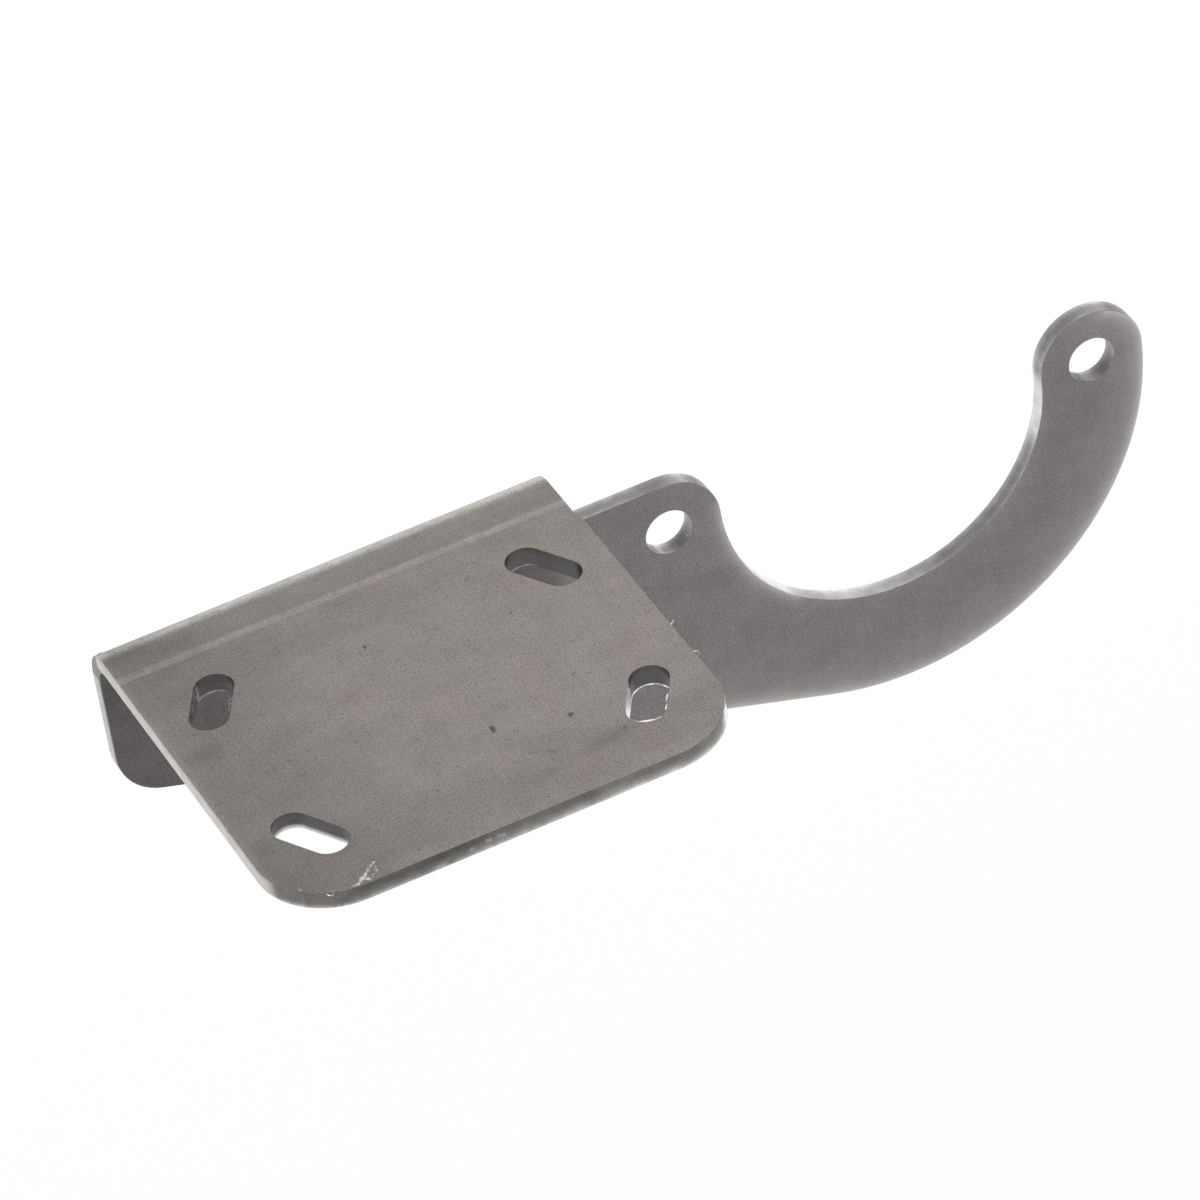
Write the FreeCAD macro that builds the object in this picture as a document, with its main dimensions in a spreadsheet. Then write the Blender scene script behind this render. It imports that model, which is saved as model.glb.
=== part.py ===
import FreeCAD, Part
import math
import os
import Sketcher

# Compressor mounting bracket: one laser-cut steel sheet with a single fold.
# Frame, in millimetres: X runs along the fold towards the hooked arm, Y towards the flange,
# Z up out of the seat plate. The origin is the centre of the slot pattern on the plate's top face.

os.makedirs("parts", exist_ok=True)
doc = FreeCAD.newDocument("compressor_mounting_bracket")

# Driving sizes. Lengths in millimetres, angles in degrees.
sizes = doc.addObject("Spreadsheet::Sheet", "sizes")
driving_sizes = [
    ("sheet_thickness", 4.0),
    ("plate_width", 105.0),
    ("plate_depth", 105.0),
    ("fold_inner_radius", 5.0),
    ("front_corner_radius", 17.0),
    ("pattern_to_back", 59.0),
    ("slot_pitch_across", 77.0),
    ("slot_pitch_deep", 50.0),
    ("slot_length", 18.0),
    ("slot_width", 8.5),
    ("slot_angle", 60.0),
    ("relief_depth", 0.7),
    ("relief_to_back", 20.5),
    ("relief_radius", 7.5),
    ("arm_corner_radius", 2.5),
    ("flange_left_depth", 39.5),
    ("flange_corner_radius", 12.5),
    ("hole_pitch", 103.5),
    ("hole_diameter", 11.0),
    ("hole_drop", 29.7),
    ("hole_past_plate", 26.2),
    ("arm_width", 25.0),
    ("edge_break", 0.1),
]
for row, (name, value) in enumerate(driving_sizes, start=1):
    cell = "A" + str(row)
    sizes.set(cell, str(value))
    sizes.setAlias(cell, name)
doc.recompute()


def size(name):
    return float(sizes.get(name))


body = doc.addObject("PartDesign::Body", "bracket")
body.Label = "bracket"
vector = FreeCAD.Vector


def origin_plane(role):
    for feature in body.Origin.OriginFeatures:
        if getattr(feature, "Role", "") == role:
            return feature
    raise ValueError("no origin plane with role " + role)


def new_sketch(name, role, offset_expression=None):
    """A sketch on one of the body's origin planes, moved along its normal by an expression."""
    sketch = body.newObject("Sketcher::SketchObject", name)
    sketch.AttachmentSupport = [(origin_plane(role), "")]
    sketch.MapMode = "FlatFace"
    if offset_expression:
        sketch.setExpression("AttachmentOffset.Base.z", offset_expression)
    doc.recompute()
    return sketch


def line(sketch, start, end):
    return sketch.addGeometry(Part.LineSegment(vector(*start, 0), vector(*end, 0)), False)


def arc(sketch, centre, radius, first, last):
    """An arc drawn counter-clockwise between two angles in degrees."""
    circle = Part.Circle(vector(*centre, 0), vector(0, 0, 1), radius)
    return sketch.addGeometry(Part.ArcOfCircle(circle, math.radians(first), math.radians(last)), False)


def bind(sketch, kind, *where_and_value):
    """Add a dimension whose value follows an expression on the sheet of sizes."""
    where = where_and_value[:-2]
    value, expression = where_and_value[-2:]
    index = sketch.addConstraint(Sketcher.Constraint(kind, *where, value))
    if expression:
        sketch.setExpression("Constraints[" + str(index) + "]", expression)
    return index


def hold(sketch, kind, *where):
    return sketch.addConstraint(Sketcher.Constraint(kind, *where))


START = 1
END = 2
CENTRE = 3
ORIGIN = -1
X_AXIS = -1
Y_AXIS = -2

thickness = size("sheet_thickness")
half_width = size("plate_width") / 2
back = size("pattern_to_back")
front = back - size("plate_depth")
fold_radius = size("fold_inner_radius") + thickness
fold_start = back - fold_radius

# Seat plate: flat outline with two rounded front corners. Its right edge steps in a little
# just before the fold, along a gentle S of two equal arcs.
plate_sketch = new_sketch("seat_plate_outline", "XY_Plane")
corner = size("front_corner_radius")
relief_x = half_width - size("relief_depth")
relief_y = back - size("relief_to_back")
swing = math.degrees(math.acos(1 - size("relief_depth") / 2 / size("relief_radius")))
relief_length = 2 * size("relief_radius") * math.sin(math.radians(swing))
step_y = relief_y - relief_length
back_edge = line(plate_sketch, (relief_x, fold_start), (-half_width, fold_start))
left_edge = line(plate_sketch, (-half_width, fold_start), (-half_width, front + corner))
left_corner = arc(plate_sketch, (-half_width + corner, front + corner), corner, 180, 270)
front_edge = line(plate_sketch, (-half_width + corner, front), (half_width - corner, front))
right_corner = arc(plate_sketch, (half_width - corner, front + corner), corner, 270, 360)
right_edge = line(plate_sketch, (half_width, front + corner), (half_width, step_y))
step_radius = size("relief_radius")
step_out = arc(plate_sketch, (half_width - step_radius, step_y), step_radius, 0, swing)
step_in = arc(plate_sketch, (relief_x + step_radius, relief_y), step_radius, 180, 180 + swing)
relief_edge = line(plate_sketch, (relief_x, relief_y), (relief_x, fold_start))
hold(plate_sketch, "Coincident", back_edge, END, left_edge, START)
hold(plate_sketch, "Tangent", left_edge, END, left_corner, START)
hold(plate_sketch, "Tangent", left_corner, END, front_edge, START)
hold(plate_sketch, "Tangent", front_edge, END, right_corner, START)
hold(plate_sketch, "Tangent", right_corner, END, right_edge, START)
hold(plate_sketch, "Tangent", right_edge, END, step_out, START)
hold(plate_sketch, "Tangent", step_out, END, step_in, END)
hold(plate_sketch, "Tangent", step_in, START, relief_edge, START)
hold(plate_sketch, "Coincident", relief_edge, END, back_edge, START)
hold(plate_sketch, "Horizontal", back_edge)
hold(plate_sketch, "Horizontal", front_edge)
hold(plate_sketch, "Vertical", left_edge)
hold(plate_sketch, "Vertical", right_edge)
hold(plate_sketch, "Vertical", relief_edge)
hold(plate_sketch, "Equal", left_corner, right_corner)
hold(plate_sketch, "Equal", step_out, step_in)
bind(plate_sketch, "DistanceX", left_edge, END, ORIGIN, START, half_width, "sizes.plate_width / 2")
bind(plate_sketch, "DistanceX", ORIGIN, START, right_edge, END, half_width, "sizes.plate_width / 2")
bind(plate_sketch, "DistanceY", front_edge, END, ORIGIN, START, -front,
     "sizes.plate_depth - sizes.pattern_to_back")
bind(plate_sketch, "DistanceY", ORIGIN, START, back_edge, END, fold_start,
     "sizes.pattern_to_back - sizes.fold_inner_radius - sizes.sheet_thickness")
bind(plate_sketch, "Radius", left_corner, corner, "sizes.front_corner_radius")
bind(plate_sketch, "Radius", step_out, step_radius, "sizes.relief_radius")
bind(plate_sketch, "DistanceX", relief_edge, START, right_edge, END, size("relief_depth"),
     "sizes.relief_depth")
bind(plate_sketch, "DistanceY", ORIGIN, START, relief_edge, START, relief_y,
     "sizes.pattern_to_back - sizes.relief_to_back")
plate = body.newObject("PartDesign::Pad", "seat_plate")
plate.Profile = plate_sketch
plate.Reversed = True
plate.setExpression("Length", "sizes.sheet_thickness")
doc.recompute()

# Fold: a quarter ring of sheet that runs along the plate's back edge.
fold_sketch = new_sketch("fold_section", "YZ_Plane", "-sizes.plate_width / 2")
inner = size("fold_inner_radius")
outside = arc(fold_sketch, (fold_start, -fold_radius), fold_radius, 0, 90)
plate_end = line(fold_sketch, (fold_start, 0), (fold_start, -thickness))
inside = arc(fold_sketch, (fold_start, -fold_radius), inner, 0, 90)
flange_end = line(fold_sketch, (fold_start + inner, -fold_radius), (back, -fold_radius))
hold(fold_sketch, "Coincident", outside, END, plate_end, START)
hold(fold_sketch, "Coincident", plate_end, END, inside, END)
hold(fold_sketch, "Coincident", inside, START, flange_end, START)
hold(fold_sketch, "Coincident", flange_end, END, outside, START)
hold(fold_sketch, "Coincident", outside, CENTRE, inside, CENTRE)
hold(fold_sketch, "Vertical", plate_end)
hold(fold_sketch, "Horizontal", flange_end)
hold(fold_sketch, "PointOnObject", plate_end, START, X_AXIS)
hold(fold_sketch, "Vertical", outside, CENTRE, plate_end, START)
hold(fold_sketch, "Horizontal", outside, CENTRE, flange_end, END)
bind(fold_sketch, "DistanceX", ORIGIN, START, flange_end, END, back, "sizes.pattern_to_back")
bind(fold_sketch, "Radius", inside, inner, "sizes.fold_inner_radius")
bind(fold_sketch, "Radius", outside, fold_radius, "sizes.fold_inner_radius + sizes.sheet_thickness")
fold = body.newObject("PartDesign::Pad", "fold")
fold.Profile = fold_sketch
fold.setExpression("Length", "sizes.plate_width - sizes.relief_depth")
doc.recompute()

# Flange and hooked arm, cut from the same sheet. The lower edge falls in a straight line from
# the rounded lower corner until it meets the hook's outer arc. The hook is a half ring, and
# each end of it is rounded about its bolt hole.
arm_sketch = new_sketch("flange_and_arm_outline", "XZ_Plane", "-sizes.pattern_to_back")
ear_radius = size("arm_width") / 2
middle_radius = size("hole_pitch") / 2
outer_radius = middle_radius + ear_radius
inner_radius = middle_radius - ear_radius
drop = -size("hole_drop")
near_ear_x = half_width + size("hole_past_plate")
hook_x = near_ear_x + middle_radius
far_ear_x = hook_x + middle_radius
start_x = -half_width
start_z = -size("flange_left_depth")
reach = math.hypot(hook_x - start_x, drop - start_z)
fall = math.degrees(math.asin(outer_radius / reach)) - math.degrees(
    math.atan2(drop - start_z, hook_x - start_x))
slope_x = math.cos(math.radians(fall))
slope_z = -math.sin(math.radians(fall))
touch_angle = 270 - fall
touch = (hook_x + outer_radius * math.cos(math.radians(touch_angle)),
         drop + outer_radius * math.sin(math.radians(touch_angle)))
flange_corner = size("flange_corner_radius")
corner_run = flange_corner * math.tan(math.radians(90 - fall) / 2)
corner_end = (start_x + corner_run * slope_x, start_z + corner_run * slope_z)
corner_centre = (start_x + flange_corner, start_z + corner_run)
small = size("arm_corner_radius")
top_line = line(arm_sketch, (relief_x, -fold_radius), (start_x, -fold_radius))
left_line = line(arm_sketch, (start_x, -fold_radius), (start_x, start_z + corner_run))
low_corner = arc(arm_sketch, corner_centre, flange_corner, 180, touch_angle)
low_line = line(arm_sketch, corner_end, touch)
outer_arc = arc(arm_sketch, (hook_x, drop), outer_radius, touch_angle, 360)
far_ear = arc(arm_sketch, (far_ear_x, drop), ear_radius, 0, 180)
inner_arc = arc(arm_sketch, (hook_x, drop), inner_radius, 180, 360)
near_ear = arc(arm_sketch, (near_ear_x, drop), ear_radius, 0, 90)
arm_top = line(arm_sketch, (near_ear_x, drop + ear_radius), (relief_x + small, drop + ear_radius))
arm_corner = arc(arm_sketch, (relief_x + small, drop + ear_radius + small), small, 180, 270)
relief_line = line(arm_sketch, (relief_x, drop + ear_radius + small), (relief_x, -fold_radius))
hold(arm_sketch, "Coincident", top_line, END, left_line, START)
hold(arm_sketch, "Tangent", left_line, END, low_corner, START)
hold(arm_sketch, "Tangent", low_corner, END, low_line, START)
hold(arm_sketch, "Tangent", low_line, END, outer_arc, START)
hold(arm_sketch, "Coincident", outer_arc, END, far_ear, START)
hold(arm_sketch, "Coincident", far_ear, END, inner_arc, END)
hold(arm_sketch, "Coincident", inner_arc, START, near_ear, START)
hold(arm_sketch, "Tangent", near_ear, END, arm_top, START)
hold(arm_sketch, "Tangent", arm_top, END, arm_corner, END)
hold(arm_sketch, "Tangent", arm_corner, START, relief_line, START)
hold(arm_sketch, "Coincident", relief_line, END, top_line, START)
hold(arm_sketch, "Horizontal", top_line)
hold(arm_sketch, "Vertical", left_line)
hold(arm_sketch, "Horizontal", arm_top)
hold(arm_sketch, "Vertical", relief_line)
hold(arm_sketch, "Coincident", outer_arc, CENTRE, inner_arc, CENTRE)
hold(arm_sketch, "Horizontal", inner_arc, CENTRE, far_ear, CENTRE)
hold(arm_sketch, "Horizontal", near_ear, CENTRE, inner_arc, CENTRE)
hold(arm_sketch, "Horizontal", far_ear, START, far_ear, CENTRE)
hold(arm_sketch, "Horizontal", far_ear, END, far_ear, CENTRE)
hold(arm_sketch, "Horizontal", near_ear, START, near_ear, CENTRE)
hold(arm_sketch, "Equal", near_ear, far_ear)
bind(arm_sketch, "DistanceX", left_line, START, ORIGIN, START, half_width, "sizes.plate_width / 2")
bind(arm_sketch, "DistanceY", top_line, END, ORIGIN, START, fold_radius,
     "sizes.fold_inner_radius + sizes.sheet_thickness")
bind(arm_sketch, "DistanceX", ORIGIN, START, top_line, START, relief_x,
     "sizes.plate_width / 2 - sizes.relief_depth")
bind(arm_sketch, "Radius", low_corner, flange_corner, "sizes.flange_corner_radius")
bind(arm_sketch, "Radius", near_ear, ear_radius, "sizes.arm_width / 2")
bind(arm_sketch, "Radius", inner_arc, inner_radius, "sizes.hole_pitch / 2 - sizes.arm_width / 2")
bind(arm_sketch, "Radius", arm_corner, small, "sizes.arm_corner_radius")
bind(arm_sketch, "DistanceY", near_ear, CENTRE, ORIGIN, START, -drop, "sizes.hole_drop")
bind(arm_sketch, "DistanceX", ORIGIN, START, near_ear, CENTRE, near_ear_x,
     "sizes.plate_width / 2 + sizes.hole_past_plate")
virtual_corner = arm_sketch.addGeometry(Part.Point(vector(start_x, start_z, 0)), True)
hold(arm_sketch, "PointOnObject", virtual_corner, START, left_line)
hold(arm_sketch, "PointOnObject", virtual_corner, START, low_line)
bind(arm_sketch, "DistanceY", virtual_corner, START, ORIGIN, START, -start_z,
     "sizes.flange_left_depth")
arm = body.newObject("PartDesign::Pad", "flange_and_arm")
arm.Profile = arm_sketch
arm.setExpression("Length", "sizes.sheet_thickness")
doc.recompute()
sheet_volume = arm.Shape.Volume

# Two bolt holes, one in each end of the hook.
hole_sketch = new_sketch("arm_hole_circles", "XZ_Plane", "-sizes.pattern_to_back")
hole_radius = size("hole_diameter") / 2
near_circle = hole_sketch.addGeometry(
    Part.Circle(vector(near_ear_x, drop, 0), vector(0, 0, 1), hole_radius), False)
far_circle = hole_sketch.addGeometry(
    Part.Circle(vector(far_ear_x, drop, 0), vector(0, 0, 1), hole_radius), False)
hold(hole_sketch, "Equal", near_circle, far_circle)
hold(hole_sketch, "Horizontal", near_circle, CENTRE, far_circle, CENTRE)
bind(hole_sketch, "Radius", near_circle, hole_radius, "sizes.hole_diameter / 2")
bind(hole_sketch, "DistanceX", ORIGIN, START, near_circle, CENTRE, near_ear_x,
     "sizes.plate_width / 2 + sizes.hole_past_plate")
bind(hole_sketch, "DistanceY", near_circle, CENTRE, ORIGIN, START, -drop, "sizes.hole_drop")
bind(hole_sketch, "DistanceX", near_circle, CENTRE, far_circle, CENTRE, 2 * middle_radius,
     "sizes.hole_pitch")
holes = body.newObject("PartDesign::Pocket", "arm_holes")
holes.Profile = hole_sketch
holes.Reversed = True
holes.Type = "Length"
holes.setExpression("Length", "sizes.sheet_thickness")
doc.recompute()
holes_volume = sheet_volume - holes.Shape.Volume

# Four slanted slots in the plate, one in each quarter, each square to the way to the centre
# or nearly so.
slot_sketch = new_sketch("slot_outlines", "XY_Plane")
slot_radius = size("slot_width") / 2
half_run = size("slot_length") / 2 - slot_radius
slot_angle = size("slot_angle")


def add_slot(side, depth):
    """One obround in the quarter given by two signs, leaning so that all four mirror each other."""
    middle = (side * size("slot_pitch_across") / 2, depth * size("slot_pitch_deep") / 2)
    lean = slot_angle if side * depth < 0 else 180 - slot_angle
    along = (math.cos(math.radians(lean)), math.sin(math.radians(lean)))
    aside = (-along[1] * slot_radius, along[0] * slot_radius)
    upper = (middle[0] + half_run * along[0], middle[1] + half_run * along[1])
    lower = (middle[0] - half_run * along[0], middle[1] - half_run * along[1])
    upper_end = arc(slot_sketch, upper, slot_radius, lean - 90, lean + 90)
    left_side = line(slot_sketch, (upper[0] + aside[0], upper[1] + aside[1]),
                     (lower[0] + aside[0], lower[1] + aside[1]))
    lower_end = arc(slot_sketch, lower, slot_radius, lean + 90, lean + 270)
    right_side = line(slot_sketch, (lower[0] - aside[0], lower[1] - aside[1]),
                      (upper[0] - aside[0], upper[1] - aside[1]))
    hold(slot_sketch, "Tangent", upper_end, END, left_side, START)
    hold(slot_sketch, "Tangent", left_side, END, lower_end, START)
    hold(slot_sketch, "Tangent", lower_end, END, right_side, START)
    hold(slot_sketch, "Tangent", right_side, END, upper_end, START)
    hold(slot_sketch, "Equal", upper_end, lower_end)
    mark = slot_sketch.addGeometry(Part.Point(vector(*middle, 0)), True)
    hold(slot_sketch, "Symmetric", upper_end, CENTRE, lower_end, CENTRE, mark, START)
    bind(slot_sketch, "Radius", upper_end, slot_radius, "sizes.slot_width / 2")
    across = (ORIGIN, mark) if side > 0 else (mark, ORIGIN)
    bind(slot_sketch, "DistanceX", across[0], START, across[1], START, abs(middle[0]),
         "sizes.slot_pitch_across / 2")
    deep = (ORIGIN, mark) if depth > 0 else (mark, ORIGIN)
    bind(slot_sketch, "DistanceY", deep[0], START, deep[1], START, abs(middle[1]),
         "sizes.slot_pitch_deep / 2")
    ends = (lower_end, upper_end) if along[0] > 0 else (upper_end, lower_end)
    bind(slot_sketch, "DistanceX", ends[0], CENTRE, ends[1], CENTRE, 2 * half_run * abs(along[0]),
         "(sizes.slot_length - sizes.slot_width) * cos(sizes.slot_angle * 1 deg)")
    bind(slot_sketch, "DistanceY", lower_end, CENTRE, upper_end, CENTRE, 2 * half_run * along[1],
         "(sizes.slot_length - sizes.slot_width) * sin(sizes.slot_angle * 1 deg)")


for quarter in ((1, 1), (-1, 1), (-1, -1), (1, -1)):
    add_slot(*quarter)
slots = body.newObject("PartDesign::Pocket", "seat_slots")
slots.Profile = slot_sketch
slots.Type = "Length"
slots.setExpression("Length", "sizes.sheet_thickness")
doc.recompute()
slots_volume = holes.Shape.Volume - slots.Shape.Volume


def cut_rim_edges(shape):
    """Names of the sharp edges where a cut wall meets a face of the sheet."""
    names = []
    for index, edge in enumerate(shape.Edges, start=1):
        faces = shape.ancestorsOfType(edge, Part.Face)
        if len(faces) != 2:
            continue
        first, last = edge.ParameterRange
        point = edge.valueAt((first + last) / 2)
        normals = []
        for face in faces:
            u, v = face.Surface.parameter(point)
            normals.append(face.normalAt(u, v))
        if abs(normals[0].dot(normals[1])) < 0.3:
            names.append("Edge" + str(index))
    return names


# Every cut edge is broken by a small flat.
broken = body.newObject("PartDesign::Chamfer", "edge_breaks")
broken.Base = (slots, cut_rim_edges(slots.Shape))
broken.setExpression("Size", "sizes.edge_break")
body.Tip = broken
doc.recompute()

# Checks on the finished piece.
for item in doc.Objects:
    if "Invalid" in item.State or "Error" in item.State:
        raise RuntimeError(item.Name + " is in a bad state: " + str(item.State))
    if item.isDerivedFrom("PartDesign::Feature"):
        if item.Shape.isNull() or not item.Shape.isValid():
            raise RuntimeError(item.Name + " has no valid shape")
for sketch in (plate_sketch, fold_sketch, arm_sketch, hole_sketch, slot_sketch):
    if sketch.solve() != 0 or not sketch.FullyConstrained:
        raise RuntimeError(sketch.Name + " is not solved or not fully constrained")
expected_holes = 2 * math.pi * hole_radius ** 2 * thickness
expected_slot = (math.pi * slot_radius ** 2 + 2 * half_run * 2 * slot_radius) * thickness
print("hole volume", holes_volume, "expected", expected_holes)
print("slot volume", slots_volume, "expected", 4 * expected_slot)
if abs(holes_volume - expected_holes) > 0.01 * expected_holes:
    raise RuntimeError("the arm holes don't cut the volume they should")
if abs(slots_volume - 4 * expected_slot) > 0.04 * expected_slot:
    raise RuntimeError("the slots don't cut the volume they should")
shape = body.Shape
if len(shape.Solids) != 1:
    raise RuntimeError("the bracket is not one solid")
print("solids", len(shape.Solids), "faces", len(shape.Faces), "volume", shape.Volume)
print("bounds", shape.BoundBox)
shape.exportStep("parts/bracket.step")
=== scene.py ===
import math
import random

import bmesh
import bpy
from mathutils import Matrix, Vector, kdtree


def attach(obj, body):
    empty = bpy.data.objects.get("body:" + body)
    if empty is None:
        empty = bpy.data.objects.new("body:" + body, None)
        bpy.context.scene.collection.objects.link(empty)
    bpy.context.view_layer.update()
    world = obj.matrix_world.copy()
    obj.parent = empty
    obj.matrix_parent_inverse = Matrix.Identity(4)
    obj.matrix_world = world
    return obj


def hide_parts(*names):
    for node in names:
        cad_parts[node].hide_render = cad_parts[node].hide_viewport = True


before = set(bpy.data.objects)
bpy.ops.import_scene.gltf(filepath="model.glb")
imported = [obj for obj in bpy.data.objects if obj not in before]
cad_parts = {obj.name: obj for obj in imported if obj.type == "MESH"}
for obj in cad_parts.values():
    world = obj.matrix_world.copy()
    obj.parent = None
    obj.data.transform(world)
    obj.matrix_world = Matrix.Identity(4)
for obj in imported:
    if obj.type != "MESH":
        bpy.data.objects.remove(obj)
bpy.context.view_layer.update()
scene = bpy.context.scene

# Sizes of the folded sheet, in millimetres. X runs along the fold towards the hooked arm, Y
# towards the flange and Z up out of the seat plate, from the middle of the slot pattern.
MM = 0.001
SHEET = 4.0
PLATE_LEFT = -52.5
PLATE_RIGHT = 52.5
PLATE_FRONT = -46.0
PLATE_BACK = 59.0
FLANGE_FRONT = PLATE_BACK - SHEET
FOLD_RADIUS = 9.0
FOLD_START = PLATE_BACK - FOLD_RADIUS
ARM_END = 194.7
ARM_BOTTOM = -93.95
HOLE_CENTRES = ((78.7, -29.7), (182.2, -29.7))
HOLE_RADIUS = 5.5

# The press brake's die left a shallow line on the outside of the sheet, each side of the fold.
DIE_LINE = 16.3
DIE_GROOVE_DEPTH = 0.04

# Wear near a cut rim fades over this distance. It is measured on a grid of this spacing, to
# points on the rim that lie this close together.
RIM_REACH = 14.0
GRID = 2.0
RIM_STEP = 0.25

# A zone of wear or finish that is open to one side ends here, clear of the bracket.
OFF_LEFT = -60.0
OFF_RIGHT = 60.0
OFF_END = 200.0
OFF_FRONT = -60.0
OFF_BACK = 61.0
OFF_TOP = 1.0
OFF_BELOW = -100.0
BELOW_PLATE = -SHEET - 1.0
BELOW_BURRS = -SHEET - 2.0

# Two of the slots, each between two corners of a box.
BACK_LEFT_SLOT = (-47, 15, BELOW_BURRS), (-30, 35, OFF_TOP)
FRONT_RIGHT_SLOT = (30, -35, BELOW_BURRS), (47, -15, OFF_TOP)

# Node settings used all over: a fade with soft ends, and a mix of two colours.
EASED = {"interpolation_type": "SMOOTHSTEP"}
TINT = {"out": 2, "data_type": "RGBA"}


def linear(colour):
    """An sRGB hex colour as linear RGBA."""
    channels = [int(colour[i:i + 2], 16) / 255 for i in (1, 3, 5)]
    flat = [c / 12.92 if c <= 0.04045 else ((c + 0.055) / 1.055) ** 2.4 for c in channels]
    return (*flat, 1.0)


def add(tree, kind, inputs=None, out=0, **settings):
    """Adds one shader node and returns an output of it. An input takes a value or an output. It is
    keyed by name, or by number where names repeat: a mix of colours has its share at 0 and the colours
    at 6 and 7, and a MapRange goes from the range 1 to 2 into the range 3 to 4."""
    node = tree.nodes.new("ShaderNode" + kind)
    for name, value in settings.items():
        setattr(node, name, value)
    for key, value in (inputs or {}).items():
        if isinstance(value, bpy.types.NodeSocket):
            tree.links.new(value, node.inputs[key])
        else:
            node.inputs[key].default_value = value
    return node.outputs[out] if node.outputs else None


def place_camera():
    """Long lens that looks down on the bracket from its front left."""
    data = bpy.data.cameras.new("photo_view")
    data.lens = 275.12
    data.sensor_width = 36.0
    data.clip_end = 20.0
    camera = bpy.data.objects.new("photo_view", data)
    turn = Matrix((
        (0.89219355, 0.36554637, -0.26526688),
        (-0.43280777, 0.52408197, -0.73349541),
        (-0.129105, 0.76922944, 0.62579387)))
    camera.matrix_world = Matrix.Translation((-0.46316, -1.39313, 1.19551)) @ turn.to_4x4()
    scene.collection.objects.link(camera)
    scene.camera = camera


def place_lamp(name, position, aim, size, watts):
    """A soft box of the given width and height in metres, turned to its aim."""
    data = bpy.data.lights.new(name, "AREA")
    data.shape = "RECTANGLE"
    data.size, data.size_y = size
    data.energy = watts
    lamp = bpy.data.objects.new(name, data)
    turn = (Vector(aim) - Vector(position)).to_track_quat("-Z", "Y").to_matrix()
    lamp.matrix_world = Matrix.Translation(position) @ turn.to_4x4()
    lamp.visible_camera = False
    scene.collection.objects.link(lamp)


def light_room():
    """A pale, even room with soft boxes on the left, low behind, above and in front."""
    world = bpy.data.worlds.new("pale_room")
    scene.world = world
    world.use_nodes = True
    tree = world.node_tree
    tree.nodes.clear()
    room = add(tree, "Background", {"Color": linear("#F4F6F8"), "Strength": 0.38})
    add(tree, "OutputWorld", {"Surface": room})
    middle = (0.04, 0.0, -0.02)
    place_lamp("left_softbox", (-1.15, 0.20, 0.45), middle, (1.0, 0.9), 9.3)
    place_lamp("back_softbox", (0.32, 0.95, 0.12), middle, (1.0, 0.4), 3.9)
    place_lamp("overhead_softbox", (0.45, 0.2, 1.15), middle, (1.1, 1.1), 6.8)
    place_lamp("front_softbox", (0.55, -1.1, 0.85), middle, (0.8, 0.8), 2.9)


def new_material(name):
    material = bpy.data.materials.new(name)
    material.use_nodes = True
    material.node_tree.nodes.clear()
    return material, material.node_tree


def lay_floor():
    """White studio floor well below the bracket, which is bolted up by its arm in use."""
    reach = 4.0
    corners = [(-reach, -reach, 0), (reach, -reach, 0), (reach, reach, 0), (-reach, reach, 0)]
    mesh = bpy.data.meshes.new("studio_floor")
    mesh.from_pydata(corners, [], [(0, 1, 2, 3)])
    floor = bpy.data.objects.new("studio_floor", mesh)
    floor.location = (0.07, 0.0, -0.30)
    scene.collection.objects.link(floor)
    # Matte white paper, which also glows for the camera and for mirrors and glass.
    paper, tree = new_material("white_paper_sweep")
    seen = add(tree, "LightPath", out="Is Camera Ray")
    for ray in ("Is Glossy Ray", "Is Transmission Ray"):
        seen = add(tree, "Math", {0: seen, 1: add(tree, "LightPath", out=ray)}, operation="MAXIMUM")
    share = add(tree, "Math", {0: seen, 1: 0.88}, operation="MULTIPLY")
    matte = add(tree, "BsdfDiffuse", {"Color": linear("#F7F7F7")})
    glow = add(tree, "Emission", {"Color": linear("#FFFFFF"), "Strength": 1.0})
    add(tree, "OutputMaterial", {"Surface": add(tree, "MixShader", {0: share, 1: matte, 2: glow})})
    mesh.materials.append(paper)


def millimetres(tree):
    """The place on the bracket, in millimetres."""
    place = add(tree, "TexCoord", out="Object")
    return add(tree, "VectorMath", {0: place, "Scale": 1 / MM}, operation="SCALE")


def mottle(tree, where, spacing, low, high, detail=3.0, stretch=(1.0, 1.0, 1.0)):
    """A factor that wanders between two values, in lumps about spacing millimetres apart."""
    size = [across / spacing for across in stretch]
    fine = add(tree, "VectorMath", {0: where, 1: size}, operation="MULTIPLY")
    noise = add(tree, "TexNoise", {"Vector": fine, "Scale": 1.0, "Detail": detail})
    return add(tree, "MapRange", {0: noise, 1: 0.3, 2: 0.7, 3: low, 4: high}, **EASED)


def in_box(tree, where, low, high, fade):
    """1 inside a box between two corners, falling to 0 at fade millimetres outside it."""
    middle = [(a + b) / 2 for a, b in zip(low, high)]
    half = [(b - a) / 2 for a, b in zip(low, high)]
    away = add(tree, "VectorMath", {0: where, 1: middle}, operation="SUBTRACT")
    away = add(tree, "VectorMath", {0: away}, operation="ABSOLUTE")
    away = add(tree, "VectorMath", {0: away, 1: half}, operation="SUBTRACT")
    away = add(tree, "VectorMath", {0: away, 1: (0.0, 0.0, 0.0)}, operation="MAXIMUM")
    away = add(tree, "VectorMath", {0: away}, out="Value", operation="LENGTH")
    return add(tree, "MapRange", {0: away, 1: 0.0, 2: fade, 3: 1.0, 4: 0.0}, **EASED)


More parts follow.
